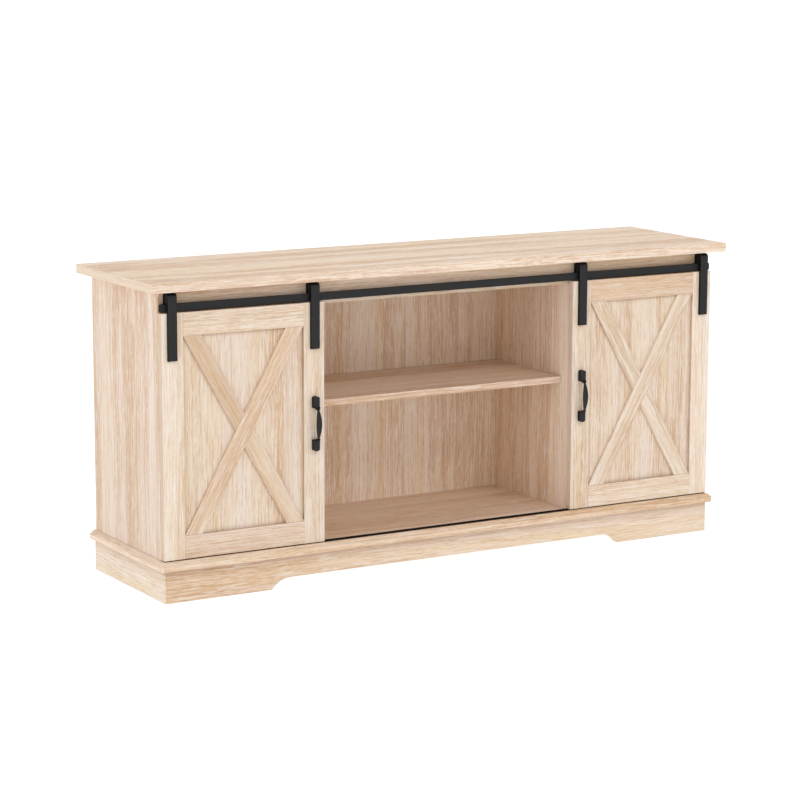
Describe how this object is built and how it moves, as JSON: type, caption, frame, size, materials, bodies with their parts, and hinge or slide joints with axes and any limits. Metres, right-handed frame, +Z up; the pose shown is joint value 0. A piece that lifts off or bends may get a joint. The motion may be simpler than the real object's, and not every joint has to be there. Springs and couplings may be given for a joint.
{
  "type": "tv stand with sliding doors",
  "caption": "Low media cabinet with framed, cross-braced doors that hang from a flat bar and slide across an open middle bay with a shelf.",
  "frame": {"origin": "on the floor, midway between the ends, and midway between the handles and the top's back edge", "axes": "+X to the right seen from the front, +Y to the back, +Z up; the doors face -Y"},
  "size_m": [1.473, 0.3913, 0.686],
  "materials": {
    "oak_laminate": "pale oak-look laminate with a fine, straight grain, satin",
    "oak_print_board": "thin board with a pale oak print, satin",
    "raw_board": "plain unfinished board",
    "black_steel": "matt black powder coat",
    "black_casting": "matt black, lightly textured",
    "zinc_steel": "bright zinc plate",
    "black_plastic": "matt",
    "black_nylon": "satin",
    "black_rubber": "matt"
  },
  "bodies": {
    "carcass": {"back_panel": "oak_print_board", "base_stretcher": "raw_board", "bottom_panel": "oak_laminate", "cam_bolts": "zinc_steel", "cam_locks": "zinc_steel", "centre_foot": "black_plastic", "centre_shelf": "oak_laminate", "corner_blocks": "raw_board", "divider_left": "oak_laminate", "divider_right": "oak_laminate", "fascia": "oak_laminate", "guide_track": "black_plastic", "hanging_rail": "black_steel", "moulding_front": "oak_laminate", "moulding_left": "oak_laminate", "moulding_right": "oak_laminate", "panel_screws": "zinc_steel", "plinth_back": "oak_laminate", "plinth_front": "oak_laminate", "plinth_left": "oak_laminate", "plinth_right": "oak_laminate", "rail_bolts": "zinc_steel", "rail_spacers": "black_steel", "rail_stops": "black_rubber", "shelf_left": "oak_laminate", "shelf_pins": "zinc_steel", "shelf_right": "oak_laminate", "side_panel_left": "oak_laminate", "side_panel_right": "oak_laminate", "top_panel": "oak_laminate"},
    "left_door": {"left_door_stile_outer": "oak_laminate", "left_door_stile_inner": "oak_laminate", "left_door_top_rail": "oak_laminate", "left_door_bottom_rail": "oak_laminate", "left_door_panel": "oak_laminate", "left_door_brace_long": "oak_laminate", "left_door_brace_upper": "oak_laminate", "left_door_brace_lower": "oak_laminate", "left_door_hanger_outer": "black_steel", "left_door_hanger_inner": "black_steel", "left_door_glides": "black_nylon", "left_door_hanger_bolts": "zinc_steel", "left_door_handle": "black_casting", "left_door_handle_screws": "zinc_steel", "left_door_guide_pins": "black_nylon"},
    "right_door": {"right_door_stile_outer": "oak_laminate", "right_door_stile_inner": "oak_laminate", "right_door_top_rail": "oak_laminate", "right_door_bottom_rail": "oak_laminate", "right_door_panel": "oak_laminate", "right_door_brace_long": "oak_laminate", "right_door_brace_upper": "oak_laminate", "right_door_brace_lower": "oak_laminate", "right_door_hanger_outer": "black_steel", "right_door_hanger_inner": "black_steel", "right_door_glides": "black_nylon", "right_door_hanger_bolts": "zinc_steel", "right_door_handle": "black_casting", "right_door_handle_screws": "zinc_steel", "right_door_guide_pins": "black_nylon"}
  },
  "joints": [
    {"name": "left_door_slide", "type": "slide", "parent": "carcass", "child": "left_door", "axis": [1, 0, 0], "range_m": [0, 0.321]},
    {"name": "right_door_slide", "type": "slide", "parent": "carcass", "child": "right_door", "axis": [-1, 0, 0], "range_m": [0, 0.321]}
  ]
}
